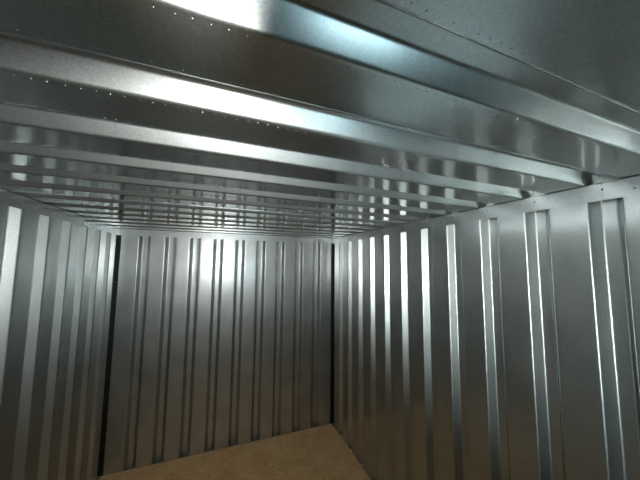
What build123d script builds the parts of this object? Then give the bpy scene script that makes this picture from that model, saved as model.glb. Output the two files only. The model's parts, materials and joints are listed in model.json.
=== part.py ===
from build123d import *
import os

# A demountable storage container of folded galvanised sheet, with its double doors standing open.
# Lengths are in millimetres. The origin is on the ground at the middle of the plan, +Y points to
# the closed back wall, the doors are at the -Y end, and +Z is up.
# Walls, rails and trims share one measure: v, the distance outwards from the flat pans of a wall.

# Corrugated sheet, the same for the walls, the roof and the doors
sheet_thickness = 1.0
groove_pitch = 207.0
groove_bottom = 40.0
groove_mouth = 88.0
groove_depth = 35.0
sheet_lap = 24.0
sheet_bays = 5

# The room, measured between the flat pans of the walls and from the floor to the roof pans
inner_width = 2048.0
clear_height = 2024.0
side_groove_count = 16
back_groove_count = 9
end_margin = 217.0

# Base frame and floor
base_height = 100.0
base_plate = 3.0
base_flange = 60.0
base_upstand = 50.0
base_bend_radius = 4.0
shelf_leg = 40.0
joist_count = 7
joist_width = 40.0
joist_thickness = 2.0
floor_thickness = 21.0
floor_board_count = 3
floor_joint = 1.0
floor_edge_gap = 2.0

# Top rails, a channel that drops over the upper ends of the sheets
wall_clearance = 2.0
rail_thickness = 2.0
rail_flange = 62.0
rail_bend_radius = 2.5
rail_joint = 2.0
sheet_top_gap = 5.0
splice_width = 70.0
splice_height = 50.0

# Corner posts
post_thickness = 2.0
post_lap = 45.0
post_gap_end = 20.0
post_gap_side = 55.0
post_head_gap = 4.0

# Roof edge trim
trim_thickness = 1.5
trim_drop = 45.0
trim_cover = 50.0
roof_edge_gap = 4.0

# Door frame
jamb_width = 50.0
jamb_depth = 40.0
jamb_wall = 3.0
jamb_corner_radius = 5.0
sill_thickness = 2.0
sill_end_gap = 1.0

# Door leaves
door_angle = 90.0
door_gap = 5.0
leaf_gap = 6.0
leaf_plate = 2.0
leaf_flange = 60.0
leaf_drop = 40.0
leaf_head_lap = 42.0
leaf_sheet_gap = 1.0
door_groove_count = 4

# Hinges
hinge_inset = 20.0
hinge_gap = 14.0
hinge_count = 3
hinge_end_distance = 260.0
knuckle_radius = 9.0
knuckle_height = 45.0
hinge_pin_radius = 5.0
hinge_pin_clearance = 0.4
hinge_plate = 6.0

# Lock of the right leaf
lock_edge_distance = 30.0
lock_standoff = 22.0
lock_rod_radius = 10.0
lock_rod_overrun = 25.0
lock_clearance = 0.6
guide_width = 44.0
guide_height = 30.0
guide_wall = 8.0
guide_count = 3
guide_end_distance = 200.0
handle_height = 1150.0
handle_length = 260.0
handle_bar_height = 30.0
handle_bar_thickness = 10.0
handle_collar_wall = 6.0
keeper_thickness = 6.0
keeper_width = 60.0
keeper_gap = 6.0

# Sizes that follow from the ones above
groove_run = (side_groove_count - 1) * groove_pitch
inner_length = groove_run + 2 * end_margin
half_width = inner_width / 2
half_length = inner_length / 2
floor_z = base_height + floor_thickness
roof_z = floor_z + clear_height
wall_cavity = groove_depth + sheet_thickness + wall_clearance
rail_face = wall_cavity + rail_thickness
base_face = wall_cavity + base_plate
rail_bottom = roof_z - rail_flange
sheet_top = roof_z - rail_thickness - sheet_top_gap
roof_top = roof_z + groove_depth + 2 * sheet_thickness
trim_top = roof_top + trim_thickness
mitre_reach = 2 * (base_flange + wall_cavity)
side_laps = list(range(sheet_bays, side_groove_count - 1, sheet_bays))
back_laps = [back_groove_count // 2]

leaf_thickness = wall_cavity + 2 * leaf_plate
hinge_v = base_face + door_gap + leaf_thickness / 2
hinge_x = half_width + hinge_inset
leaf_width = hinge_x - hinge_gap - leaf_gap / 2
leaf_bottom = floor_z - leaf_drop
leaf_top = rail_bottom + leaf_head_lap
leaf_height = leaf_top - leaf_bottom
lock_x = hinge_gap + leaf_width - lock_edge_distance
lock_y = -leaf_thickness / 2 - lock_standoff


def folded(points, thickness, radius=0):
    """Section of folded plate: a bent line with its metal on the left, with sharp folds at radius 0."""
    if radius:
        line = FilletPolyline(*points, radius=radius)
        return make_face(offset(line, amount=thickness, side=Side.LEFT, closed=True))
    line = Polyline(*points)
    kind = Kind.INTERSECTION
    return make_face(offset(line, amount=thickness, kind=kind, side=Side.LEFT, closed=True))


def evenly(count, low, high):
    """Evenly spaced places from low to high, or the middle for a single one."""
    if count == 1:
        return [(low + high) / 2]
    return [low + i * (high - low) / (count - 1) for i in range(count)]


def groove_centres(count):
    reach = (count - 1) * groove_pitch / 2
    return evenly(count, -reach, reach)


def sheet_section(centres, laps, first, last, start, end):
    """One sheet from its first to its last groove, as a folded section with the grooves upwards.

    At a lap the earlier sheet ends on the groove's bottom, and the next one lies over it.
    """
    points = []
    if first in laps:
        over = groove_depth + sheet_thickness
        c = centres[first]
        points.append((c - sheet_lap / 2, over))
        points.append((c + groove_bottom / 2, over))
        points.append((c + groove_mouth / 2, 0))
    else:
        points.append((start, 0))
    for i in range(first, last + 1):
        c = centres[i]
        if i == first and first in laps:
            continue
        points.append((c - groove_mouth / 2, 0))
        points.append((c - groove_bottom / 2, groove_depth))
        if i == last and last in laps:
            points.append((c + sheet_lap / 2, groove_depth))
            continue
        points.append((c + groove_bottom / 2, groove_depth))
        points.append((c + groove_mouth / 2, 0))
    if last not in laps:
        points.append((end, 0))
    return folded(points, sheet_thickness)


def sheet_sections(count, laps, reach):
    """The sheets of one wall or roof, side by side, from -reach to +reach."""
    centres = groove_centres(count)
    firsts = [0] + laps
    lasts = laps + [count - 1]
    return [sheet_section(centres, laps, a, b, -reach, reach) for a, b in zip(firsts, lasts)]


def upright_plane(x, y, z, along):
    """Plane for an upright sheet hanging down from height z, with its grooves facing outwards."""
    return Plane(origin=(x, y, z), x_dir=along, z_dir=(0, 0, -1))


def right_wall_sheets():
    plane = upright_plane(half_width, 0, sheet_top, (0, 1, 0))
    reach = half_length - post_gap_side
    sections = sheet_sections(side_groove_count, side_laps, reach)
    return [extrude(plane * s, sheet_top - base_height) for s in sections]


def back_wall_sheets():
    plane = upright_plane(0, half_length, sheet_top, (-1, 0, 0))
    reach = half_width - post_gap_end
    sections = sheet_sections(back_groove_count, back_laps, reach)
    return [extrude(plane * s, sheet_top - base_height) for s in sections]


def roof_sheets():
    reach = half_length + rail_face - roof_edge_gap
    sections = sheet_sections(side_groove_count, side_laps, reach)
    plane = Plane.YZ * Pos(0, roof_z)
    half_span = half_width + rail_face - roof_edge_gap
    return [extrude(plane * s, half_span, both=True) for s in sections]


def frame_bar(section, side):
    """A bar of the given section (v outwards, z up) along one side of the plan, mitred at 45 degrees."""
    ends = side in ("back", "front")
    half = half_width if ends else half_length
    distance = half_length if ends else half_width
    turn = {"back": 0, "left": 90, "front": 180, "right": 270}[side]
    bar = extrude(Plane.YZ * section, half + mitre_reach, both=True)
    corners = [
        (mitre_reach - half, -mitre_reach),
        (half - mitre_reach, -mitre_reach),
        (half + mitre_reach, mitre_reach),
        (-half - mitre_reach, mitre_reach),
    ]
    block = extrude(make_face(Polyline(*corners, close=True)), trim_top + mitre_reach)
    return Rot(0, 0, turn) * Pos(0, distance, 0) * (bar & block)


def base_rail(side):
    """Edge plate with a bottom flange and a welded shelf; its upstand is left off under the doors."""
    plate_top = floor_z if side == "front" else base_height + base_upstand
    plate = folded(
        [(wall_cavity, plate_top), (wall_cavity, base_plate), (base_face - base_flange, base_plate)],
        base_plate,
        base_bend_radius,
    )
    under = base_height - base_plate
    shelf = folded(
        [
            (wall_cavity - base_flange, under),
            (wall_cavity - base_plate, under),
            (wall_cavity - base_plate, under - shelf_leg),
        ],
        base_plate,
        base_bend_radius,
    )
    return frame_bar(plate + shelf, side)


def top_rail(side):
    """Channel over the sheet ends; the long ones are in lengths that meet at the sheet laps."""
    under = roof_z - rail_thickness
    points = [(0, rail_bottom), (0, under), (wall_cavity, under), (wall_cavity, rail_bottom)]
    rail = frame_bar(folded(points, rail_thickness, rail_bend_radius), side)
    if side in ("left", "right"):
        for lap in side_laps:
            y = groove_centres(side_groove_count)[lap]
            rail -= Pos(0, y, roof_z) * Box(2 * mitre_reach + inner_width, rail_joint, 2 * rail_flange + 1)
    return rail


def rail_splices():
    """Plates behind the inner flange of the long rails, one in the groove at each joint."""
    plates = []
    for lap in side_laps:
        y = groove_centres(side_groove_count)[lap]
        z = rail_bottom + rail_flange / 2
        for side in (-1, 1):
            x = side * (half_width + rail_thickness / 2)
            plates.append(Pos(x, y, z) * Box(rail_thickness, splice_width, splice_height))
    return plates


def roof_trim(side):
    points = [(rail_face - trim_cover, roof_top), (rail_face, roof_top), (rail_face, roof_z - trim_drop)]
    return frame_bar(folded(points, trim_thickness, rail_bend_radius), side)


def floor_joists():
    """Channels between the shelves of the long base rails, one of them across the origin."""
    t = joist_thickness
    points = [(joist_width, t), (t, t), (t, base_height - t), (joist_width, base_height - t)]
    section = Pos(-joist_width / 2, 0) * folded(points, t)
    reach = half_width + wall_cavity - base_flange
    spacing = inner_length / (joist_count + 1)
    middle = (joist_count - 1) / 2
    joist = extrude(Plane.YZ * section, reach, both=True)
    return [Pos(0, (i - middle) * spacing, 0) * joist for i in range(joist_count)]


def floor_boards():
    length = (inner_length - 2 * floor_edge_gap - (floor_board_count - 1) * floor_joint) / floor_board_count
    step = length + floor_joint
    middle = (floor_board_count - 1) / 2
    board = Box(inner_width - 2 * floor_edge_gap, length, floor_thickness)
    z = base_height + floor_thickness / 2
    return [Pos(0, (i - middle) * step, z) * board for i in range(floor_board_count)]


def corner_post():
    """Back right post: a folded corner with a flange behind the last pan of each wall."""
    t = post_thickness
    s = sheet_thickness
    points = [
        (-post_gap_end - post_lap, s),
        (-post_gap_end, s),
        (-post_gap_end, wall_cavity - t),
        (wall_cavity - t, wall_cavity - t),
        (wall_cavity - t, -post_gap_side),
        (s, -post_gap_side),
        (s, -post_gap_side - post_lap),
    ]
    section = folded(points, t, rail_bend_radius)
    height = roof_z - rail_thickness - post_head_gap - base_height
    return Pos(half_width, half_length, base_height) * extrude(section, height)


def door_jamb():
    """Right jamb: a hollow bar on the floor, against the room side of the front post's flange."""
    tube = RectangleRounded(jamb_width, jamb_depth, jamb_corner_radius)
    tube -= RectangleRounded(
        jamb_width - 2 * jamb_wall, jamb_depth - 2 * jamb_wall, jamb_corner_radius - jamb_wall
    )
    x = half_width - post_gap_end - jamb_width / 2
    y = -half_length - sheet_thickness + jamb_depth / 2
    return Pos(x, y, floor_z) * extrude(tube, rail_bottom - floor_z)


def door_sill():
    """Folded threshold on the front shelf, level with the floor."""
    under = floor_z - sill_thickness
    points = [
        (sill_thickness, base_height),
        (sill_thickness, under),
        (wall_cavity - sill_thickness, under),
        (wall_cavity - sill_thickness, base_height),
    ]
    section = folded(points, sill_thickness, rail_bend_radius)
    reach = half_width - post_gap_end - post_lap - sill_end_gap
    sill = extrude(Plane.YZ * section, reach, both=True)
    return Rot(0, 0, 180) * Pos(0, half_length, 0) * sill


def open_leaf(shape):
    """Move something drawn on the closed left leaf, with the hinge line as origin, to the open door."""
    return Pos(-hinge_x, -half_length - hinge_v, 0) * Rot(0, 0, -door_angle) * shape


def leaf_frame():
    """Channel welded round the leaf, open to the middle."""
    centre = Pos(hinge_gap + leaf_width / 2, 0, leaf_bottom + leaf_height / 2)
    frame = Box(leaf_width, leaf_thickness, leaf_height)
    frame -= Box(leaf_width - 2 * leaf_plate, wall_cavity, leaf_height - 2 * leaf_plate)
    frame -= Box(leaf_width - 2 * leaf_flange, 2 * leaf_thickness, leaf_height - 2 * leaf_flange)
    return open_leaf(centre * frame)


def leaf_sheet():
    """Sheet held in the channel, with its pans towards the room and its grooves outwards."""
    edge = leaf_plate + leaf_sheet_gap
    top = leaf_top - edge
    plane = upright_plane(hinge_gap + leaf_width / 2, wall_cavity / 2, top, (1, 0, 0))
    section = sheet_sections(door_groove_count, [], leaf_width / 2 - edge)[0]
    return open_leaf(extrude(plane * section, leaf_height - 2 * edge))


def hinge_heights():
    low = leaf_bottom + hinge_end_distance
    high = leaf_top - hinge_end_distance
    return evenly(hinge_count, low, high)


def hinge_brackets():
    """Lower knuckles with their pins, each on a plate from the front post."""
    reach = hinge_v - wall_cavity
    up = (Align.CENTER, Align.CENTER, Align.MIN)
    bracket = Cylinder(knuckle_radius, knuckle_height, align=up)
    bracket += Box(hinge_plate, reach, knuckle_height, align=(Align.CENTER, Align.MIN, Align.MIN))
    bracket += Cylinder(hinge_pin_radius, 2 * knuckle_height, align=up)
    place = Pos(-hinge_x, -half_length - hinge_v, 0)
    return [place * Pos(0, 0, z - knuckle_height) * bracket for z in hinge_heights()]


def hinge_sleeves():
    """Upper knuckles on the leaf's edge, turning on the pins."""
    up = (Align.CENTER, Align.CENTER, Align.MIN)
    sleeve = Cylinder(knuckle_radius, knuckle_height, align=up)
    sleeve += Box(hinge_gap, hinge_plate, knuckle_height, align=(Align.MIN, Align.CENTER, Align.MIN))
    sleeve -= Cylinder(hinge_pin_radius + hinge_pin_clearance, knuckle_height, align=up)
    return [open_leaf(Pos(0, 0, z) * sleeve) for z in hinge_heights()]


def lock_rod():
    """Upright rod on the outer face of the leaf, with its lever welded on by a collar."""
    length = leaf_height + 2 * lock_rod_overrun
    rod = Pos(lock_x, lock_y, leaf_bottom + leaf_height / 2) * Cylinder(lock_rod_radius, length)
    rod += Pos(lock_x, lock_y, handle_height) * Cylinder(
        lock_rod_radius + handle_collar_wall, handle_bar_height
    )
    lever = Box(
        handle_length,
        handle_bar_thickness,
        handle_bar_height,
        align=(Align.MAX, Align.CENTER, Align.CENTER),
    )
    rod += Pos(lock_x, lock_y, handle_height) * lever
    return mirror(open_leaf(rod), about=Plane.YZ)


def lock_guides():
    """Blocks on the leaf's channel that the rod slides through."""
    depth = lock_standoff + lock_rod_radius + guide_wall
    block = Pos(0, -leaf_thickness / 2, 0) * Box(
        guide_width, depth, guide_height, align=(Align.CENTER, Align.MAX, Align.CENTER)
    )
    block -= Pos(0, lock_y, 0) * Cylinder(lock_rod_radius + lock_clearance, 2 * guide_height)
    low = leaf_bottom + guide_end_distance
    high = leaf_top - guide_end_distance
    heights = evenly(guide_count, low, high)
    return [mirror(open_leaf(Pos(lock_x, 0, z) * block), about=Plane.YZ) for z in heights]


def lock_keeper(z, face):
    """Plate out from the frame at height z, with the hole that takes the rod's end."""
    rod_v = hinge_v - lock_y
    depth = rod_v + lock_rod_radius + guide_wall - face
    plate = Box(keeper_width, depth, keeper_thickness, align=(Align.CENTER, Align.MIN, Align.MIN))
    plate = Pos(0, face, 0) * plate
    plate -= Pos(0, rod_v, 0) * Cylinder(lock_rod_radius + lock_clearance, 4 * keeper_thickness)
    x = leaf_gap / 2 + lock_edge_distance
    return Pos(x, -half_length, z) * mirror(plate, about=Plane.XZ)


def lock_keepers():
    head = lock_keeper(leaf_top + keeper_gap, rail_face + trim_thickness)
    foot = lock_keeper(leaf_bottom - keeper_gap - keeper_thickness, base_face)
    return [head, foot]


def solids_of(shapes):
    return [solid for shape in shapes for solid in shape.solids()]


def save(name, *shapes):
    """Write one piece, or a set of like pieces, to its own file."""
    solids = solids_of(shapes)
    model = solids[0] if len(solids) == 1 else Compound(solids)
    export_step(model, f"parts/{name}.step")


def save_left_and_right(name, side, shape):
    """Write a shape and its mirror image; side says where the shape itself stands."""
    other = {"left": "right", "right": "left"}[side]
    save(f"{name}_{side}", *shape)
    save(f"{name}_{other}", *[mirror(s, about=Plane.YZ) for s in shape])


os.makedirs("parts", exist_ok=True)

for side in ("front", "back", "left", "right"):
    save(f"base_rail_{side}", base_rail(side))
    save(f"top_rail_{side}", top_rail(side))
    save(f"roof_trim_{side}", roof_trim(side))

save("floor_joists", *floor_joists())
save("floor_boards", *floor_boards())

for number, sheet in enumerate(right_wall_sheets(), 1):
    save_left_and_right(f"wall_sheet_{number}", "right", [sheet])
for name, sheet in zip(("right", "left"), back_wall_sheets()):
    save(f"back_wall_sheet_{name}", sheet)
for number, sheet in enumerate(roof_sheets(), 1):
    save(f"roof_sheet_{number}", sheet)

save_left_and_right("corner_post_back", "right", [corner_post()])
save_left_and_right("corner_post_front", "right", [mirror(corner_post(), about=Plane.XZ)])
save("rail_splices", *rail_splices())

save_left_and_right("door_jamb", "right", [door_jamb()])
save("door_sill", door_sill())
save_left_and_right("door_frame", "left", [leaf_frame()])
save_left_and_right("door_sheet", "left", [leaf_sheet()])
save_left_and_right("hinge_brackets", "left", hinge_brackets())
save_left_and_right("hinge_sleeves", "left", hinge_sleeves())
save("lock_rod", lock_rod())
save("lock_guides", *lock_guides())
save("lock_keepers", *lock_keepers())
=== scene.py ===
import json
import math

import bmesh
import bpy
from mathutils import Matrix, Vector, noise


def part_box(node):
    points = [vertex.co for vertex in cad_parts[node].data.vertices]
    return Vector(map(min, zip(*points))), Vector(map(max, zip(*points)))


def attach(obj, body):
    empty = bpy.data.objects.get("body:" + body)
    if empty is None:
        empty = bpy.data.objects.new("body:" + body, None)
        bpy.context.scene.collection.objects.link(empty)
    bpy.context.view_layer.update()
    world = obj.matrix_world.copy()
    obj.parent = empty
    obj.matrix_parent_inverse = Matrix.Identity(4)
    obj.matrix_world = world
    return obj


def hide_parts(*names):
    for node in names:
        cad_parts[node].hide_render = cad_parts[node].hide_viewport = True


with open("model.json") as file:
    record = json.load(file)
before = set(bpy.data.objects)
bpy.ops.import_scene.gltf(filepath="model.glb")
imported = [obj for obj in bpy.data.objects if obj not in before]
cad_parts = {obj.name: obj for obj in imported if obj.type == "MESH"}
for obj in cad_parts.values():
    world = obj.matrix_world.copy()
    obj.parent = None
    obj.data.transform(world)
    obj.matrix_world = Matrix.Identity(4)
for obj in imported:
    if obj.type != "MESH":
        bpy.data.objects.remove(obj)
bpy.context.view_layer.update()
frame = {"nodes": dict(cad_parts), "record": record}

# Everything is in metres, in the frame of the solids: +Y to the closed back wall, +Z up.
X = Vector((1, 0, 0))
Y = Vector((0, 1, 0))
Z = Vector((0, 0, 1))

# The corrugated sheet
sheet_thickness = 0.001
groove_pitch = 0.207
groove_bottom = 0.040
groove_mouth = 0.088
groove_depth = 0.035
side_groove_count = 16
back_groove_count = 9
door_groove_count = 4
grooves_before_lap = 5
fold_radius = 0.010
fold_steps = 6
pan_steps = 6
pan_bow = 0.0005
ring_spacing = 0.09

# Rivets and drilled holes of the top rails, and the one rivet of the back left post
rivet_radius = 0.0048
rivet_height = 0.0018
rivet_before = 0.075
rivet_after = 0.153
rivet_row = 0.024
hole_radius = 0.0028
hole_rim = 0.0003
hole_row = 0.038
post_rivet_z = 1.677
post_rivet_outward = 0.011
post_rivet_forward = 0.002

# Pressed pips beside the roof's grooves, and the lips of its laps
pip_radius = 0.0014
pip_height = 0.0009
pip_spacing = 0.0207
pip_margin = 0.011
pip_scatter = 0.0035
pip_scatter_across = 0.3
pip_end_gap = 0.03
lip_width = 0.004
lip_end_gap = 0.001

# Outside rivets: flush ones round the base and the doors, raised ones on the grooves
flush_radius = 0.007
flush_height = 0.00045
base_rivet_row = 0.004
crest_radius = 0.0065
crest_height = 0.0012
crest_foot = 0.075
crest_spacing = 0.31
lap_rivet_count = 5
roof_rivet_inset = 0.085

# Floor screws
screw_radius = 0.0042
screw_height = 0.0004
screw_spacing = 0.31
screw_scatter = 0.006
screw_rows_each_way = 3
joist_bays = 8

# Bolts
bolt_size = 0.013
washer_radius = 0.0085
washer_height = 0.0013
jamb_bolt_heights = (0.28, 0.84, 1.40, 1.96)

# Weld beads, with their swell between two ripples and at their ends
weld_radius = 0.0032
weld_ripple = 0.0022
weld_corners = 6
weld_flush = 0.14
weld_full = 0.8
weld_dip = 0.86
weld_end = 0.45
weld_unevenness = 0.12

# Door frames, hinge brackets, lock guides and keepers
frame_width = 0.06
door_rivet_inset = 0.09
door_rivets_up = 10
door_rivets_across = 4
mitre_weld_inset = 0.004
bracket_count = 3
bracket_inset = 0.26
bracket_height = 0.045
bracket_half_thickness = 0.003
bracket_weld_inset = 0.002
guide_count = 3
guide_inset = 0.015
guide_weld_reach = 0.013
keeper_thickness = 0.006
keeper_weld_inset = 0.002
keeper_weld_sink = 0.0005

# Rest under the lock's lever
rest_y_low = -2.632
rest_y_high = -2.592
rest_foot = 1.085
rest_x_high = 1.1
lever_under = 1.135
rest_play = 0.0005
rest_plate = 0.003
rest_shelf = 0.004
rest_lip = 0.0035
rest_lip_height = 0.016
rest_bevel = 0.0008
rest_bolt_z = 1.101
rest_bolt_inset = 0.01

# Sizes taken from the solids
half_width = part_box("wall_sheet_2_right")[0].x
half_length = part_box("back_wall_sheet_left")[0].y
rail_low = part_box("top_rail_right")[0]
rail_bottom = rail_low.z
rail_inset = half_width - rail_low.x
floor_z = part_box("floor_boards")[1].z
roof_low, roof_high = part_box("roof_sheet_2")
roof_z = roof_low.z
joist_step = 2 * half_length / joist_bays
leaf_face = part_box("door_frame_right")[1].x


def centred(count, spacing=groove_pitch):
    """That many places at equal steps, centred on 0."""
    return [(i - (count - 1) / 2) * spacing for i in range(count)]


def spaced(low, high, inset, count):
    """That many places between two ends, with the outer ones set in from them."""
    return [low + inset + (high - low - 2 * inset) * i / (count - 1) for i in range(count)]


side_grooves = centred(side_groove_count)
back_grooves = centred(back_groove_count)

# The sheets of the side walls and of the roof lap on the sixth groove from each end
side_laps = (side_grooves[grooves_before_lap], side_grooves[-1 - grooves_before_lap])


# Mesh builders


def rounded(points, radius, steps):
    """The bent line through the points, with a curve in place of each inner one."""
    line = [points[0]]
    for before, corner, after in zip(points, points[1:], points[2:]):
        into = (corner - before).normalized()
        out = (after - corner).normalized()
        reach = radius * math.tan(into.angle(out) / 2)
        start = corner - into * reach
        end = corner + out * reach
        for i in range(steps + 1):
            t = i / steps
            line.append(start.lerp(corner, t).lerp(corner.lerp(end, t), t))
    line.append(points[-1])
    return line


def with_pans(line):
    """Divide the long flat stretches at height 0, and give each point its share of the bow."""
    result = []
    for a, b in zip(line, line[1:]):
        result.append((a, 0.0))
        if a.y == b.y == 0 and b.x - a.x > groove_bottom:
            for i in range(1, pan_steps):
                share = i / pan_steps
                result.append((a.lerp(b, share), math.sin(math.pi * share)))
    result.append((line[-1], 0.0))
    return result


def sheet_line(start, end, grooves):
    """Section of one sheet from start to end, which may each lie on the bottom of a lapped groove."""
    points = []
    for c in grooves:
        if abs(start - c) < groove_bottom / 2:
            over = groove_depth + sheet_thickness
            points += [(start, over), (c + groove_bottom / 2, over), (c + groove_mouth / 2, 0)]
        elif abs(end - c) < groove_bottom / 2:
            points += [
                (c - groove_mouth / 2, 0),
                (c - groove_bottom / 2, groove_depth),
                (end, groove_depth),
            ]
        elif start < c < end:
            points += [
                (c - groove_mouth / 2, 0),
                (c - groove_bottom / 2, groove_depth),
                (c + groove_bottom / 2, groove_depth),
                (c + groove_mouth / 2, 0),
            ]
    if points[0][1] == 0:
        points.insert(0, (start, 0))
    if points[-1][1] == 0:
        points.append((end, 0))
    return with_pans(rounded([Vector(p) for p in points], fold_radius, fold_steps))


def offset(line, distance):
    """The section's other face: each point moved square to the line."""
    moved = []
    for i, (point, bow) in enumerate(line):
        before = line[max(i - 1, 0)][0]
        after = line[min(i + 1, len(line) - 1)][0]
        along = (after - before).normalized()
        moved.append((point + Vector((-along.y, along.x)) * distance, bow))
    return moved


def finish_mesh(name, bm, material, angle=35):
    """Turn a bmesh into a piece on the body, shaded smooth up to that angle."""
    bmesh.ops.recalc_face_normals(bm, faces=bm.faces)
    mesh = bpy.data.meshes.new(name)
    bm.to_mesh(mesh)
    bm.free()
    for face in mesh.polygons:
        face.use_smooth = True
    mesh.set_sharp_from_angle(angle=math.radians(angle))
    mesh.materials.append(material)
    piece = bpy.data.objects.new(name, mesh)
    bpy.context.scene.collection.objects.link(piece)
    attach(piece, "root")
    return piece


def bow_height(point, w, face, fade):
    """How far a pan stands proud there: a slow wave that dies away at the sheet's ends."""
    pan = round(point.x / groove_pitch - 0.5)
    wave = 1 + noise.noise(Vector((w * 2.3, pan * 7.1, face * 9.7)))
    return pan_bow * fade * wave


def corrugated(node, along, out, grooves, material):
    """Sheet in place of a node: its section runs along one direction and its grooves go out."""
    low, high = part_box(node)
    length = along.cross(out)
    start, end = sorted((low.dot(along), high.dot(along)))
    face = min(low.dot(out), high.dot(out))
    w_start, w_end = sorted((low.dot(length), high.dot(length)))
    line = sheet_line(start, end, grooves)
    section = line + offset(line, sheet_thickness)[::-1]
    rings = max(2, round((w_end - w_start) / ring_spacing))
    bm = bmesh.new()
    rows = []
    for r in range(rings + 1):
        w = w_start + (w_end - w_start) * r / rings
        fade = math.sin(math.pi * r / rings) ** 0.5 if 0 < r < rings else 0.0
        row = []
        for point, bow in section:
            v = point.y
            if bow:
                v += bow * bow_height(point, w, face, fade)
            row.append(bm.verts.new(along * point.x + out * (face + v) + length * w))
        rows.append(row)
    count = len(section)
    for a, b in zip(rows, rows[1:]):
        for i in range(count):
            j = (i + 1) % count
            bm.faces.new((a[i], a[j], b[j], b[i]))
    for row in (rows[0], rows[-1]):
        for i in range(count // 2 - 1):
            bm.faces.new((row[i], row[i + 1], row[count - 2 - i], row[count - 1 - i]))
    piece = finish_mesh(f"{node}_bent", bm, material)
    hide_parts(node)


def turned(bm, profile, place, axis, sides, twist=0.0):
    """Add a form turned about an axis; the profile gives (radius, height) pairs from the rim inwards."""
    turn = Z.rotation_difference(axis).to_matrix()
    rows = []
    for radius, height in profile:
        if radius == 0:
            rows.append([bm.verts.new(place + turn @ Vector((0, 0, height)))] * sides)
            continue
        row = []
        for i in range(sides):
            angle = twist + math.tau * i / sides
            spot = Vector((radius * math.cos(angle), radius * math.sin(angle), height))
            row.append(bm.verts.new(place + turn @ spot))
        rows.append(row)
    for a, b in zip(rows, rows[1:]):
        for i in range(sides):
            corners = list(dict.fromkeys((a[i], a[(i + 1) % sides], b[(i + 1) % sides], b[i])))
            bm.faces.new(corners)
    bm.faces.new(rows[0][::-1])


def turned_set(name, profile, places, material, sides=12):
    """One joined mesh of like turned forms; places are (point, axis) pairs."""
    bm = bmesh.new()
    for i, (point, axis) in enumerate(places):
        turned(bm, profile, point, axis, sides, twist=i * 0.7)
    finish_mesh(name, bm, material)


def bolt_set(name, places, material):
    """Hexagon bolts with washers; places are (point, axis) pairs."""
    bm = bmesh.new()
    radius = bolt_size / 2 / math.cos(math.pi / 6)
    head = washer_height + bolt_size * 0.4
    washer = [(washer_radius, 0), (washer_radius * 0.96, washer_height), (0, washer_height)]
    hexagon = [(radius, washer_height), (radius, head * 0.88), (radius * 0.86, head), (0, head)]
    for i, (point, axis) in enumerate(places):
        turned(bm, washer, point, axis, 16)
        turned(bm, hexagon, point, axis, 6, twist=i * 0.9)
    finish_mesh(name, bm, material, angle=25)


def weld_bead(bm, start, end, out, share):
    """Add a rippled half-round bead; share is its height as a share of its half width."""
    along = (end - start).normalized()
    across = along.cross(out)
    count = max(4, round((end - start).length / weld_ripple * 2))
    rows = []
    for i in range(count + 1):
        swell = 1.0 if i % 2 else weld_dip
        if i in (0, count):
            swell *= weld_end
        else:
            swell *= 1 + weld_unevenness * noise.noise(start * 50 + Vector((i * 0.4, 0, 0)))
        row = []
        for k in range(weld_corners):
            angle = math.pi * k / (weld_corners - 1)
            side = across * (math.cos(angle) * weld_radius * swell)
            lift = out * (math.sin(angle) * weld_radius * share * swell)
            row.append(bm.verts.new(start.lerp(end, i / count) + side + lift))
        rows.append(row)
    for a, b in zip(rows, rows[1:]):
        for k in range(weld_corners):
            m = (k + 1) % weld_corners
            bm.faces.new((a[k], a[m], b[m], b[k]))
    bm.faces.new(rows[0])
    bm.faces.new(rows[-1])


def box_between(bm, low, high):
    """Add a plain box from its lowest to its highest corner."""
    low = Vector(low)
    size = Vector(high) - low
    for vert in bmesh.ops.create_cube(bm, size=1.0)["verts"]:
        vert.co = low + Vector((c + 0.5) * s for c, s in zip(vert.co, size))


# Materials


def add(tree, kind, sockets=None, **settings):
    """A node with its settings; each socket gets a plain value or another node's output."""
    made = tree.nodes.new(kind)
    for key, value in settings.items():
        setattr(made, key, value)
    for key, value in (sockets or {}).items():
        if isinstance(value, bpy.types.NodeSocket):
            tree.links.new(value, made.inputs[key])
        else:
            made.inputs[key].default_value = value
    return made


def new_material(name, metallic):
    """An empty material with its node tree and its shader."""
    material = bpy.data.materials.new(name)
    material.use_nodes = True
    shader = material.node_tree.nodes["Principled BSDF"]
    shader.inputs["Metallic"].default_value = metallic
    return material, material.node_tree, shader


def mapped(tree, value, low, high, start=0.0, end=1.0):
    """Value from the range low to high, brought to the range start to end."""
    sockets = {"Value": value, "From Min": low, "From Max": high, "To Min": start, "To Max": end}
    return add(tree, "ShaderNodeMapRange", sockets).outputs["Result"]


def worked(tree, operation, first, second):
    """Result of a sum on two values."""
    return add(tree, "ShaderNodeMath", {0: first, 1: second}, operation=operation).outputs[0]


def leaning_normal(tree, place, cells, tilt, dents):
    """Normal of a surface whose crystals each lean a little, with slow dents over them."""
    lean = add(
        tree,
        "ShaderNodeVectorMath",
        {0: cells.outputs["Color"], 1: (0.5, 0.5, 0.5)},
        operation="SUBTRACT",
    ).outputs[0]
    lean = add(tree, "ShaderNodeVectorMath", {0: lean, "Scale": tilt}, operation="SCALE").outputs[0]
    normal = add(tree, "ShaderNodeNewGeometry").outputs["Normal"]
    normal = add(tree, "ShaderNodeVectorMath", {0: normal, 1: lean}, operation="ADD").outputs[0]
    normal = add(tree, "ShaderNodeVectorMath", {0: normal}, operation="NORMALIZE").outputs[0]
    wave = add(tree, "ShaderNodeTexNoise", {"Vector": place, "Scale": 9.0, "Detail": 1.0})
    return add(
        tree,
        "ShaderNodeBump",
        {"Height": wave.outputs["Fac"], "Distance": 0.0012, "Strength": dents, "Normal": normal},
    ).outputs["Normal"]


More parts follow.
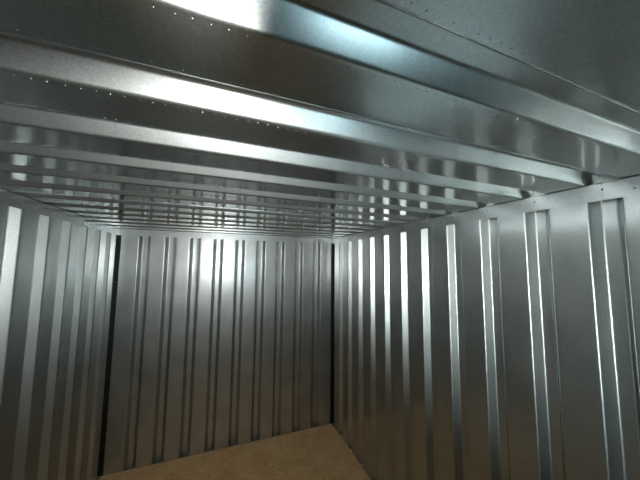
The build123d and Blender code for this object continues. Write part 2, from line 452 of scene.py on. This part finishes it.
def zinc(name, dark, light, shine, rough, polished, share, glancing, wear, crystal, tilt, dents):
    """Zinc coating of small crystals: a broad sheen, with a share of the surface more polished."""
    material, tree, shader = new_material(name, 1.0)
    place = add(tree, "ShaderNodeTexCoord").outputs["Object"]
    cells = add(tree, "ShaderNodeTexVoronoi", {"Vector": place, "Scale": 1 / crystal})
    parts = add(tree, "ShaderNodeSeparateColor", {"Color": cells.outputs["Color"]})
    cloud = add(tree, "ShaderNodeTexNoise", {"Vector": place, "Scale": 5.0, "Detail": 5.0})
    smear = add(tree, "ShaderNodeTexNoise", {"Vector": place, "Scale": 38.0, "Detail": 3.0})

    shade = worked(tree, "ADD", mapped(tree, cloud.outputs["Fac"], 0.3, 0.7), parts.outputs["Red"])
    colour = add(tree, "ShaderNodeMix", {"Factor": mapped(tree, shade, 0.2, 1.8)}, data_type="RGBA")
    colour.inputs["A"].default_value = (*dark, 1)
    colour.inputs["B"].default_value = (*light, 1)
    tree.links.new(colour.outputs["Result"], shader.inputs["Base Color"])
    bright = add(tree, "ShaderNodeBsdfPrincipled", {"Base Color": (*shine, 1), "Metallic": 1.0})

    facing = add(tree, "ShaderNodeLayerWeight", {"Blend": 0.5}).outputs["Facing"]
    gloss = mapped(tree, facing, 0.35, 0.85, 1, glancing)
    patch = mapped(tree, smear.outputs["Fac"], 0.3, 0.7, 1 - wear, 1 + wear)
    blur = worked(tree, "MULTIPLY", gloss, patch)
    normal = leaning_normal(tree, place, cells, tilt, dents)
    for surface, roughness in ((shader, rough), (bright, polished)):
        tree.links.new(worked(tree, "MULTIPLY", blur, roughness), surface.inputs["Roughness"])
        tree.links.new(normal, surface.inputs["Normal"])
    both = add(tree, "ShaderNodeMixShader", {0: share, 1: shader.outputs[0], 2: bright.outputs[0]})
    tree.links.new(both.outputs[0], tree.nodes["Material Output"].inputs["Surface"])
    return material


def chipboard():
    """Raw brown board: pressed flakes in several shades, with dirt and a faint grain."""
    material, tree, shader = new_material("chipboard", 0.0)
    place = add(tree, "ShaderNodeTexCoord").outputs["Object"]
    bend = add(tree, "ShaderNodeTexNoise", {"Vector": place, "Scale": 60.0, "Detail": 2.0})
    pull = add(
        tree,
        "ShaderNodeVectorMath",
        {0: bend.outputs["Color"], "Scale": 0.02},
        operation="SCALE",
    ).outputs[0]
    bent = add(tree, "ShaderNodeVectorMath", {0: place, 1: pull}, operation="ADD").outputs[0]
    flakes = add(tree, "ShaderNodeTexVoronoi", {"Vector": bent, "Scale": 150.0})
    flake = add(tree, "ShaderNodeSeparateColor", {"Color": flakes.outputs["Color"]})
    dirt = add(
        tree,
        "ShaderNodeTexNoise",
        {"Vector": place, "Scale": 7.0, "Detail": 8.0, "Roughness": 0.65},
    )
    grain = add(tree, "ShaderNodeTexNoise", {"Vector": place, "Scale": 420.0, "Detail": 4.0})

    ramp = add(tree, "ShaderNodeValToRGB", {"Fac": flake.outputs["Red"]})
    ramp.color_ramp.elements[0].color = (0.58, 0.35, 0.15, 1)
    ramp.color_ramp.elements[1].color = (0.88, 0.6, 0.31, 1)
    stain = add(
        tree,
        "ShaderNodeMix",
        {"Factor": mapped(tree, dirt.outputs["Fac"], 0.35, 0.7, 0.0, 0.75), "A": ramp.outputs["Color"]},
        data_type="RGBA",
        blend_type="MULTIPLY",
    )
    stain.inputs["B"].default_value = (0.72, 0.62, 0.5, 1)
    tree.links.new(stain.outputs["Result"], shader.inputs["Base Color"])
    tree.links.new(mapped(tree, flake.outputs["Green"], 0, 1, 0.55, 0.8), shader.inputs["Roughness"])
    height = worked(tree, "ADD", flake.outputs["Blue"], grain.outputs["Fac"])
    bump = add(tree, "ShaderNodeBump", {"Height": height, "Distance": 0.0006, "Strength": 0.5})
    tree.links.new(bump.outputs["Normal"], shader.inputs["Normal"])
    return material


def shadow_black():
    """Painted shade of a drilled hole: dark and rough, laid on a flat disc in place of the hole."""
    material, tree, shader = new_material("hole_shadow", 0.0)
    place = add(tree, "ShaderNodeTexCoord").outputs["Object"]
    fleck = add(tree, "ShaderNodeTexNoise", {"Vector": place, "Scale": 900.0, "Detail": 2.0})
    ramp = add(tree, "ShaderNodeValToRGB", {"Fac": fleck.outputs["Fac"]})
    ramp.color_ramp.elements[0].color = (0.004, 0.004, 0.004, 1)
    ramp.color_ramp.elements[1].color = (0.02, 0.02, 0.018, 1)
    tree.links.new(ramp.outputs["Color"], shader.inputs["Base Color"])
    shader.inputs["Roughness"].default_value = 0.8
    return material


def stage_paint(name, colour, roughness=0.5):
    """Plain paint of the floor, the flag and the curtain, which aren't part of the object."""
    material, _, shader = new_material(name, 0.0)
    shader.inputs["Base Color"].default_value = (*colour, 1)
    shader.inputs["Roughness"].default_value = roughness
    return material


sheet_zinc = zinc(
    "galvanised",
    dark=(0.35, 0.375, 0.37),
    light=(0.53, 0.555, 0.55),
    shine=(0.60, 0.63, 0.63),
    rough=0.46,
    polished=0.24,
    share=0.3,
    glancing=0.3,
    wear=0.01,
    crystal=0.0022,
    tilt=0.002,
    dents=0.008,
)
# Nearly black zinc for the corner posts: painted shade, standing for the dark in the recess of each post
shaded_post_zinc = zinc(
    "painted_shade_galvanised",
    dark=(0.05, 0.065, 0.06),
    light=(0.07, 0.09, 0.082),
    shine=(0.06, 0.08, 0.07),
    rough=0.55,
    polished=0.4,
    share=0.3,
    glancing=0.8,
    wear=0.07,
    crystal=0.004,
    tilt=0.01,
    dents=0.1,
)
base_zinc = zinc(
    "dull_galvanised",
    dark=(0.34, 0.36, 0.37),
    light=(0.52, 0.54, 0.54),
    shine=(0.45, 0.47, 0.47),
    rough=0.55,
    polished=0.4,
    share=0.3,
    glancing=0.8,
    wear=0.07,
    crystal=0.011,
    tilt=0.08,
    dents=0.35,
)
fitting_zinc = zinc(
    "bright_zinc",
    dark=(0.52, 0.54, 0.56),
    light=(0.66, 0.68, 0.69),
    shine=(0.62, 0.64, 0.65),
    rough=0.38,
    polished=0.22,
    share=0.4,
    glancing=0.8,
    wear=0.05,
    crystal=0.002,
    tilt=0.03,
    dents=0.2,
)
board = chipboard()
# Painted shade for the drilled holes of the rails
black = shadow_black()

finishes = {
    "galvanised_sheet": sheet_zinc,
    "base_steel": base_zinc,
    "zinc_fitting": fitting_zinc,
    "floor_board": board,
}
for part in frame["record"]["subparts"]:
    mesh = frame["nodes"][part["node"]].data
    mesh.materials.clear()
    # The corner posts take the nearly black zinc of painted shade
    post = part["node"].startswith("corner_post")
    mesh.materials.append(shaded_post_zinc if post else finishes[part["material_slot"]])


# The sheets, with rounded folds and pans that bow slightly

for number in (1, 2, 3):
    corrugated(f"wall_sheet_{number}_right", Y, X, side_grooves, sheet_zinc)
    corrugated(f"wall_sheet_{number}_left", Y, -X, side_grooves, sheet_zinc)
    corrugated(f"roof_sheet_{number}", Y, Z, side_grooves, sheet_zinc)
for side in ("left", "right"):
    corrugated(f"back_wall_sheet_{side}", -X, Y, back_grooves, sheet_zinc)
for side, out in (("left", -X), ("right", X)):
    low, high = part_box(f"door_sheet_{side}")
    middle = (low.y + high.y) / 2
    grooves = [middle + c for c in centred(door_groove_count)]
    corrugated(f"door_sheet_{side}", Y, out, grooves, sheet_zinc)


# Profiles of the rivets, screws, holes and pips, from the rim inwards

rivet = [
    (rivet_radius, 0.0),
    (rivet_radius * 0.95, rivet_height * 0.4),
    (rivet_radius * 0.6, rivet_height * 0.9),
    (rivet_radius * 0.3, rivet_height),
    (rivet_radius * 0.22, rivet_height * 0.5),
    (0, rivet_height * 0.45),
]
hole = [(hole_radius * 1.25, 0.0), (hole_radius, hole_rim), (0, hole_rim)]
flush = [
    (flush_radius, 0.0),
    (flush_radius * 0.93, flush_height),
    (flush_radius * 0.45, flush_height),
    (flush_radius * 0.4, flush_height * 0.2),
    (0, flush_height * 0.2),
]
crest = [
    (crest_radius, 0.0),
    (crest_radius * 0.9, crest_height * 0.5),
    (crest_radius * 0.6, crest_height * 0.92),
    (crest_radius * 0.32, crest_height),
    (crest_radius * 0.28, crest_height * 0.4),
    (0, crest_height * 0.4),
]
screw = [
    (screw_radius, 0.0),
    (screw_radius * 0.94, screw_height),
    (screw_radius * 0.5, screw_height),
    (screw_radius * 0.3, screw_height * 0.1),
    (0, screw_height * 0.1),
]
pip = [(pip_radius, 0.0), (pip_radius * 0.7, pip_height * 0.75), (0, pip_height)]


# Rivets and holes of the top rails


def rail_rivets(side, along, out, grooves, half):
    """Two rivets between each pair of grooves, on the inner face of one rail."""
    face = out * (half - rail_inset)
    spots = []
    for c in grooves[1:]:
        for back in (rivet_before, rivet_after):
            spots.append((face + along * (c - back) + Z * (rail_bottom + rivet_row), -out))
    turned_set(f"rail_rivets_{side}", rivet, spots, fitting_zinc)


def rail_holes(side, out):
    """One dark disc of painted shade over each groove of a long rail, in place of a drilled hole."""
    face = out * (half_width - rail_inset)
    spots = [(face + Y * c + Z * (rail_bottom + hole_row), -out) for c in side_grooves]
    turned_set(f"rail_holes_{side}", hole, spots, black)


for side, out in (("right", X), ("left", -X)):
    rail_rivets(side, Y, out, side_grooves, half_width)
    rail_holes(side, out)
for side, out in (("back", Y), ("front", -Y)):
    rail_rivets(side, X, out, back_grooves, half_length)


# Outside rivets of the walls, roof and base, where the sheets are held and where they lap


def wall_and_base_rivets():
    """Each groove has a rivet at its foot and one in the base under it; the laps have a row."""
    base_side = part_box("base_rail_right")[1].x
    base_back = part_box("base_rail_back")[1].y
    base_z = floor_z + base_rivet_row
    lap_face = groove_depth + 2 * sheet_thickness
    foot_face = lap_face - sheet_thickness
    foot_z = floor_z + crest_foot
    lap_heights = [foot_z + crest_spacing * (i + 1) for i in range(lap_rivet_count)]
    base_spots = []
    crest_spots = []
    for out in (X, -X):
        for c in side_grooves:
            base_spots.append((out * base_side + Y * c + Z * base_z, out))
            crest_spots.append((out * (half_width + foot_face) + Y * c + Z * foot_z, out))
        for c in side_laps:
            for z in lap_heights:
                crest_spots.append((out * (half_width + lap_face) + Y * c + Z * z, out))
    for c in back_grooves:
        base_spots.append((Y * base_back + X * c + Z * base_z, Y))
        crest_spots.append((Y * (half_length + foot_face) + X * c + Z * foot_z, Y))
    for z in lap_heights:
        crest_spots.append((Y * (half_length + lap_face) + Z * z, Y))
    turned_set("base_rivets", flush, base_spots, fitting_zinc, sides=16)
    turned_set("wall_rivets", crest, crest_spots, fitting_zinc, sides=14)


def roof_rivets():
    """A rivet at both ends of each groove, and a row on each lap."""
    spots = []
    for c in side_grooves:
        z = roof_high.z - (0 if c in side_laps else sheet_thickness)
        for x in (roof_rivet_inset - half_width, half_width - roof_rivet_inset):
            spots.append((X * x + Y * c + Z * z, Z))
    for c in side_laps:
        for x in centred(lap_rivet_count, crest_spacing):
            spots.append((X * x + Y * c + Z * roof_high.z, Z))
    turned_set("roof_rivets", crest, spots, fitting_zinc, sides=14)


def post_rivet():
    """The rivet that the photograph shows in the recess of the back left post."""
    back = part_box("corner_post_back_left")[1].y
    spot = Vector((-half_width - post_rivet_outward, back - post_rivet_forward, post_rivet_z))
    turned_set("post_rivet", rivet, [(spot, -Y)], fitting_zinc)


def floor_screws():
    """Screws in rows over the joists."""
    steps = range(-screw_rows_each_way, screw_rows_each_way + 1)
    spots = []
    for i in steps:
        for j in steps:
            shift = screw_scatter * noise.noise(Vector((i * 3.1, j * 5.7, 0.5)))
            spots.append((Vector((j * screw_spacing + shift, i * joist_step + shift / 2, floor_z)), Z))
    turned_set("floor_screws", screw, spots, fitting_zinc, sides=14)


wall_and_base_rivets()
roof_rivets()
post_rivet()
floor_screws()


# Door leaves: rivets round the frames, and welds at their corners, brackets, guides and keepers


def leaf_faces():
    """Both faces of both door frames, as (lowest corner, highest corner, point on the face, outward)."""
    for side, out in (("left", -X), ("right", X)):
        low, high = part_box(f"door_frame_{side}")
        for face in (out, -out):
            yield low, high, X * (low + high).x / 2 + face * (high.x - low.x) / 2, face


def door_rivets():
    """A row of rivets along the middle of each bar of the frames."""
    spots = []
    for low, high, plane, face in leaf_faces():
        for z in spaced(low.z, high.z, door_rivet_inset, door_rivets_up):
            for y in (low.y + frame_width / 2, high.y - frame_width / 2):
                spots.append((plane + Y * y + Z * z, face))
        for y in spaced(low.y, high.y, door_rivet_inset, door_rivets_across):
            for z in (low.z + frame_width / 2, high.z - frame_width / 2):
                spots.append((plane + Y * y + Z * z, face))
    turned_set("door_rivets", flush, spots, fitting_zinc, sides=14)


def mitre_welds(bm):
    """Ground beads across the corners of the door frames."""
    for low, high, plane, face in leaf_faces():
        for y, y_in in ((low.y, 1), (high.y, -1)):
            for z, z_in in ((low.z, 1), (high.z, -1)):
                start = plane + Y * (y + y_in * mitre_weld_inset) + Z * (z + z_in * mitre_weld_inset)
                end = plane + Y * (y + y_in * frame_width) + Z * (z + z_in * frame_width)
                weld_bead(bm, start, end, face, weld_flush)


def hinge_welds(bm):
    """Beads on both sides of each hinge bracket."""
    low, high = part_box("hinge_brackets_left")
    leaf_low, leaf_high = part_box("door_frame_left")
    for side in (-1, 1):
        x = side * abs(low.x + high.x) / 2
        for top in spaced(leaf_low.z, leaf_high.z, bracket_inset, bracket_count):
            for edge in (-bracket_half_thickness, bracket_half_thickness):
                foot = Vector((x + edge, high.y, top - bracket_height))
                start = foot + Z * bracket_weld_inset
                end = foot + Z * (bracket_height - bracket_weld_inset)
                weld_bead(bm, start, end, -Y, weld_full)


def guide_welds(bm):
    """Beads on both sides of each guide of the lock rod."""
    low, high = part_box("lock_guides")
    for z in spaced(low.z, high.z, guide_inset, guide_count):
        for y in (low.y, high.y):
            middle = Vector((low.x, y, z))
            weld_bead(bm, middle - Z * guide_weld_reach, middle + Z * guide_weld_reach, X, weld_full)


def keeper_welds(bm):
    """Beads over and under both keepers; the upper ones lie a little deeper, on the rail."""
    low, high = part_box("lock_keepers")
    for z, y in (
        (low.z, high.y),
        (low.z + keeper_thickness, high.y),
        (high.z - keeper_thickness, high.y - keeper_weld_sink),
        (high.z, high.y - keeper_weld_sink),
    ):
        start = Vector((low.x + keeper_weld_inset, y, z))
        end = Vector((high.x - keeper_weld_inset, y, z))
        weld_bead(bm, start, end, -Y, weld_full)


def frame_welds():
    """All the welds in one mesh."""
    bm = bmesh.new()
    mitre_welds(bm)
    hinge_welds(bm)
    guide_welds(bm)
    keeper_welds(bm)
    finish_mesh("frame_welds", bm, fitting_zinc, angle=50)


def lever_rest():
    """Bent plate on the right leaf that the lock's lever lies on."""
    plate_face = leaf_face + rest_plate
    shelf_top = lever_under - rest_play
    bm = bmesh.new()
    box_between(bm, (leaf_face, rest_y_low, rest_foot), (plate_face, rest_y_high, lever_under))
    box_between(
        bm,
        (plate_face, rest_y_low, lever_under - rest_shelf),
        (rest_x_high, rest_y_high, shelf_top),
    )
    box_between(
        bm,
        (rest_x_high - rest_lip, rest_y_low, shelf_top),
        (rest_x_high, rest_y_high, lever_under + rest_lip_height),
    )
    bmesh.ops.bevel(bm, geom=bm.edges[:], offset=rest_bevel, segments=2, affect="EDGES")
    finish_mesh("lever_rest", bm, fitting_zinc)


def frame_bolts():
    """Two bolts through the lever's rest, and a row through each door jamb."""
    spots = []
    for y in (rest_y_low + rest_bolt_inset, rest_y_high - rest_bolt_inset):
        spots.append((Vector((leaf_face + rest_plate, y, rest_bolt_z)), X))
    low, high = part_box("door_jamb_left")
    middle = (low.y + high.y) / 2
    for z in jamb_bolt_heights:
        spots.append((Vector((high.x, middle, z)), X))
        spots.append((Vector((-high.x, middle, z)), -X))
    bolt_set("frame_bolts", spots, fitting_zinc)


door_rivets()
frame_welds()
lever_rest()
frame_bolts()


# Pressed pips along both sides of each roof groove, and the lips of the roof laps


def roof_pips():
    """Rows of small pips, a little out of line."""
    spots = []
    count = int((half_width - pip_end_gap) * 2 / pip_spacing)
    for c in side_grooves:
        for side in (-1, 1):
            y = c + side * (groove_mouth / 2 + pip_margin)
            for x in centred(count, pip_spacing):
                shift = pip_scatter * noise.noise(Vector((x * 31, y * 17, side)))
                spots.append((Vector((x + shift, y + pip_scatter_across * shift, roof_z)), -Z))
    turned_set("roof_pips", pip, spots, sheet_zinc, sides=10)


def roof_lips():
    """Narrow strip at the edge of each lap, along the groove's mouth."""
    reach = half_width - rail_inset - lip_end_gap
    bm = bmesh.new()
    for node in ("roof_sheet_2", "roof_sheet_3"):
        sheet_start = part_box(node)[0].y
        lap = min(side_grooves, key=lambda c: abs(c - sheet_start))
        edge = lap - groove_mouth / 2
        box_between(
            bm,
            (-reach, edge - lip_width / 2, roof_z - sheet_thickness),
            (reach, edge + lip_width / 2, roof_z),
        )
    finish_mesh("roof_lap_lips", bm, fitting_zinc)


roof_pips()
roof_lips()


# Floor and sky

ground_size = 60
ground_drop = 0.0005

bpy.ops.mesh.primitive_plane_add(size=ground_size, location=(0, 0, -ground_drop))
ground = bpy.context.object
ground.name = "stage_floor"
ground.data.materials.append(stage_paint("stage_pale", (0.62, 0.62, 0.61), 0.9))

world = bpy.data.worlds.new("studio")
bpy.context.scene.world = world
world.use_nodes = True
sky = world.node_tree.nodes["Background"]
sky.inputs["Color"].default_value = (0.85, 0.93, 1.0, 1)
sky.inputs["Strength"].default_value = 0.25


# Lamps

white = (1.0, 1.0, 1.0)
warm = (1.0, 0.98, 0.95)
flash = (1.0, 0.99, 0.95)
cool = (0.95, 0.98, 1.0)
daylight = (0.6, 0.9, 1.0)


def area_lamp(name, place, target, size, power, colour, spread=180):
    """Soft lamp that faces the target, with a beam of that many degrees; it isn't seen itself."""
    data = bpy.data.lights.new(name, "AREA")
    data.shape = "RECTANGLE"
    data.size, data.size_y = size
    data.energy = power
    data.color = colour
    data.spread = math.radians(spread)
    lamp = bpy.data.objects.new(name, data)
    lamp.location = place
    lamp.rotation_euler = (Vector(target) - Vector(place)).to_track_quat("-Z", "Y").to_euler()
    lamp.visible_camera = False
    bpy.context.scene.collection.objects.link(lamp)


# Large soft lamps round the container
area_lamp("top_lamp", (0, 2, 14), (0, 0, 1), (12, 12), 700, white)
area_lamp("left_lamp", (-16, 4, 10), (0, 0, 1.2), (12, 10), 700, warm)
area_lamp("right_lamp", (16, 2, 10), (0, 0, 1.2), (12, 10), 550, cool)
area_lamp("back_lamp", (2, 18, 10), (0, 0, 1.2), (12, 10), 550, cool)
area_lamp("front_lamp", (2, -8, 10), (0, -2, 1), (3, 3), 300, warm)

# The photograph's own light, as a small lamp just over the camera
area_lamp("room_lamp", (-0.2, -1.0, 1.875), (-0.2, 2.0, 2.1), (0.04, 0.04), 10.8, flash, 136)

# Light from the doorway on the right wall
area_lamp("door_lamp", (-0.85, -1.66, 1.5), (1.0, -0.2, 2.1), (0.12, 0.12), 4.2, (0.93, 1.0, 0.97), 60)
area_lamp("sill_lamp", (-0.85, -1.66, 0.9), (1.0, -0.2, 2.1), (0.12, 0.12), 1.2, (0.75, 1.0, 1.0), 55)

# Light from sheet to sheet, on the near roof, on the left wall and on the right wall's far end and top
area_lamp("roof_lamp", (0.35, -1.6, 1.6), (0.0, -0.66, 2.16), (0.4, 0.4), 1.6, daylight, 80)
area_lamp("near_lamp", (0.45, -0.35, 1.65), (0.05, -0.75, 2.14), (0.5, 0.5), 0.08, (0.7, 0.95, 1.0), 90)
area_lamp("cool_lamp", (-0.6, 0.3, 1.45), (-0.3, -0.62, 2.14), (0.9, 0.3), 0.01, (0.4, 0.9, 1.0), 90)
area_lamp("glow_lamp", (0.9, 0.0, 1.1), (-1.0, 0.0, 1.3), (0.9, 0.7), 0.25, daylight, 150)
area_lamp("far_lamp", (-0.65, -1.0, 1.85), (1.04, 1.4, 1.8), (0.04, 0.04), 0.5, flash, 40)
area_lamp("rail_lamp", (0.5, -0.1, 2.1), (1.02, -0.2, 2.05), (0.8, 0.03), 0.1, (0.9, 1.0, 1.0), 70)


# Dark plates that shade the lamps and that no camera sees

flag_z = 1.96
flag_y_low = -1.1
flag_y_high = -0.845
flag_x_low = -1.0
flag_x_high = 0.6
gap_x_low = -0.222
gap_x_high = -0.2
gap_y_high = -0.88
curtain_inset = 0.045
curtain_y = -half_length + curtain_inset
curtain_z = 0.1
flag_black = stage_paint("flag_black", (0.01, 0.01, 0.01))


def flat_plate(x_low, y_low, x_high, y_high, z):
    """Corners of a level plate."""
    return [(x_low, y_low, z), (x_high, y_low, z), (x_high, y_high, z), (x_low, y_high, z)]


def dark_plates(name, corners):
    """Black stage piece of four-cornered plates; the corners come four to a plate."""
    mesh = bpy.data.meshes.new(name)
    mesh.from_pydata(corners, [], [tuple(range(i, i + 4)) for i in range(0, len(corners), 4)])
    mesh.materials.append(flag_black)
    plates = bpy.data.objects.new(name, mesh)
    bpy.context.scene.collection.objects.link(plates)
    plates.visible_camera = False


# Over the room lamp, to keep its beam off the nearest part of the roof, but for one gap
dark_plates(
    "lamp_flag",
    flat_plate(flag_x_low, flag_y_low, gap_x_low, flag_y_high, flag_z)
    + flat_plate(gap_x_high, flag_y_low, flag_x_high, flag_y_high, flag_z)
    + flat_plate(gap_x_low, gap_y_high, gap_x_high, flag_y_high, flag_z),
)

# In the doorway, to keep the outside light from the room
dark_plates(
    "door_curtain",
    [
        (-half_width, curtain_y, curtain_z),
        (half_width, curtain_y, curtain_z),
        (half_width, curtain_y, roof_z),
        (-half_width, curtain_y, roof_z),
    ],
)


# The camera stands in the room and looks into the back right corner

camera_place = (-0.1978, -0.9919, 1.8586)
camera_yaw = math.radians(21.026)
camera_pitch = math.radians(5.043)
camera_roll = math.radians(0.57)
camera_focal_pixels = 261.84
photo_width = 640
sensor_width = 36.0

camera_data = bpy.data.cameras.new("photo_camera")
camera_data.sensor_width = sensor_width
camera_data.lens = camera_focal_pixels / photo_width * sensor_width
camera_data.clip_start = 0.02
camera = bpy.data.objects.new("photo_camera", camera_data)
bpy.context.scene.collection.objects.link(camera)
camera.matrix_world = (
    Matrix.Translation(camera_place)
    @ Matrix.Rotation(-camera_yaw, 4, "Z")
    @ Matrix.Rotation(math.pi / 2 + camera_pitch, 4, "X")
    @ Matrix.Rotation(camera_roll, 4, "Z")
)
bpy.context.scene.camera = camera
bpy.context.scene.view_settings.view_transform = "Standard"

bpy.context.view_layer.update()
